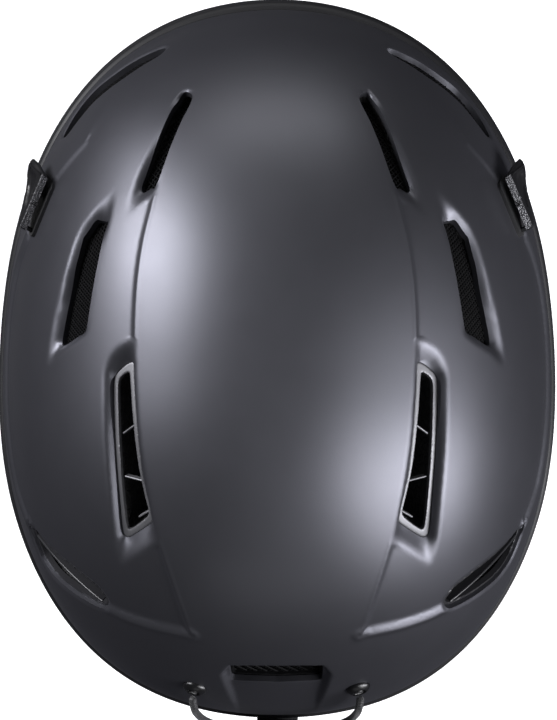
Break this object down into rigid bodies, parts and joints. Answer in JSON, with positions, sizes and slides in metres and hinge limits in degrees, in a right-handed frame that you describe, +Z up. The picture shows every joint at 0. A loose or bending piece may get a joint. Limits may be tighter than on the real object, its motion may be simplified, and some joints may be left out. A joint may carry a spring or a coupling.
{
  "type": "ski helmet",
  "caption": "Adult ski and snowboard helmet with vented hard shell, foam liner, ear pads, chin strap, fit dial and goggle strap holders.",
  "frame": {"origin": "The point where the wearer's central vertical axis crosses the basic plane through the ear canals and lower eye sockets.", "axes": "+Z up through the crown, the face looks along -Y, +X is the wearer's left."},
  "size_m": [0.2162, 0.2835, 0.2664],
  "materials": {
    "shell_anthracite": "satin",
    "shell_black": "matte",
    "foam_black": "matte",
    "mesh_black": "matte",
    "frame_silver": "satin",
    "plastic_black": "matte",
    "plastic_grey": "matte",
    "steel": "satin",
    "rubber_black": "matte",
    "cord_black": "matte",
    "lining": "matte",
    "ear_fabric": "matte",
    "webbing": "matte"
  },
  "bodies": {
    "helmet_shell": {"brow_pad": "lining", "brow_vent_insert_left": "plastic_black", "brow_vent_insert_right": "plastic_black", "clip_screws": "steel", "cord_ends": "cord_black", "cord_grommets": "rubber_black", "crown_pad": "lining", "ear_pad_bar_left": "plastic_black", "ear_pad_bar_right": "plastic_black", "exhaust_grille_left": "frame_silver", "exhaust_grille_right": "frame_silver", "foam_liner": "foam_black", "front_strap_left": "webbing", "front_strap_right": "webbing", "front_vent_mesh_left": "mesh_black", "front_vent_mesh_right": "mesh_black", "goggle_clip_left": "plastic_black", "goggle_clip_right": "plastic_black", "height_rail": "plastic_grey", "hook_catch": "plastic_black", "lower_shell": "shell_black", "pivot_rivet_left": "steel", "pivot_rivet_right": "steel", "rear_strap_left": "webbing", "rear_strap_right": "webbing", "rear_vent_grille": "plastic_black", "side_pad_left": "lining", "side_pad_right": "lining", "side_vent_mesh_left": "mesh_black", "side_vent_mesh_right": "mesh_black", "strap_anchors": "plastic_black", "strap_divider_left": "plastic_black", "strap_divider_right": "plastic_black", "upper_shell": "shell_anthracite", "vent_frame_left": "frame_silver", "vent_frame_right": "frame_silver"},
    "goggle_loop": {"goggle_cord": "cord_black", "goggle_hook": "plastic_black"},
    "ear_left": {"ear_pad_left": "ear_fabric"},
    "ear_right": {"ear_pad_right": "ear_fabric"},
    "chin_left": {"chin_strap_left": "webbing", "buckle_base": "plastic_black", "magnet_base": "steel"},
    "chin_right": {"chin_strap_right": "webbing", "buckle_latch": "plastic_black", "magnet_latch": "steel", "chin_pad": "lining", "strap_keeper": "rubber_black"},
    "cradle": {"height_stem": "plastic_grey", "dial_housing": "plastic_grey", "dial_cover": "plastic_grey", "cover_screws": "steel", "detent_springs": "steel", "nape_pad_left": "lining", "nape_pad_right": "lining"},
    "dial": {"dial_knob": "rubber_black", "knob_screw": "steel", "pinion_gear": "plastic_grey"},
    "band_left": {"fit_band_left": "plastic_grey"},
    "band_right": {"fit_band_right": "plastic_grey"}
  },
  "joints": [
    {"name": "goggle_loop_swing", "type": "hinge", "parent": "helmet_shell", "child": "goggle_loop", "pos_m": [0, 0.12914, 0.07359], "axis": [1, 0, 0], "range_deg": [0, 85]},
    {"name": "ear_left_flex", "type": "hinge", "parent": "helmet_shell", "child": "ear_left", "pos_m": [0.099, 0, 0.0225], "axis": [0, -1, 0], "range_deg": [0, 20]},
    {"name": "ear_right_flex", "type": "hinge", "parent": "helmet_shell", "child": "ear_right", "pos_m": [-0.099, 0, 0.0225], "axis": [0, 1, 0], "range_deg": [0, 20]},
    {"name": "chin_left_swing", "type": "hinge", "parent": "helmet_shell", "child": "chin_left", "pos_m": [0.0755, 0.004, -0.044], "axis": [1, 0, 0], "range_deg": [-25, 40]},
    {"name": "chin_right_swing", "type": "hinge", "parent": "helmet_shell", "child": "chin_right", "pos_m": [-0.0755, 0.004, -0.044], "axis": [1, 0, 0], "range_deg": [-25, 40]},
    {"name": "cradle_height", "type": "slide", "parent": "helmet_shell", "child": "cradle", "axis": [0, 0, 1], "range_m": [-0.012, 0]},
    {"name": "dial_turn", "type": "hinge", "parent": "cradle", "child": "dial", "pos_m": [0, 0.1, -0.024], "axis": [0, 1, 0], "range_deg": [-84, 26]},
    {"name": "band_left_slide", "type": "slide", "parent": "cradle", "child": "band_left", "axis": [1, 0, 0], "range_m": [-0.0088, 0.0028]},
    {"name": "band_right_slide", "type": "slide", "parent": "cradle", "child": "band_right", "axis": [-1, 0, 0], "range_m": [-0.0088, 0.0028]}
  ],
  "couplings": [
    {"joint": "band_left_slide", "follows": "dial_turn", "m_per_rad": 0.006},
    {"joint": "band_right_slide", "follows": "dial_turn", "m_per_rad": 0.006}
  ]
}
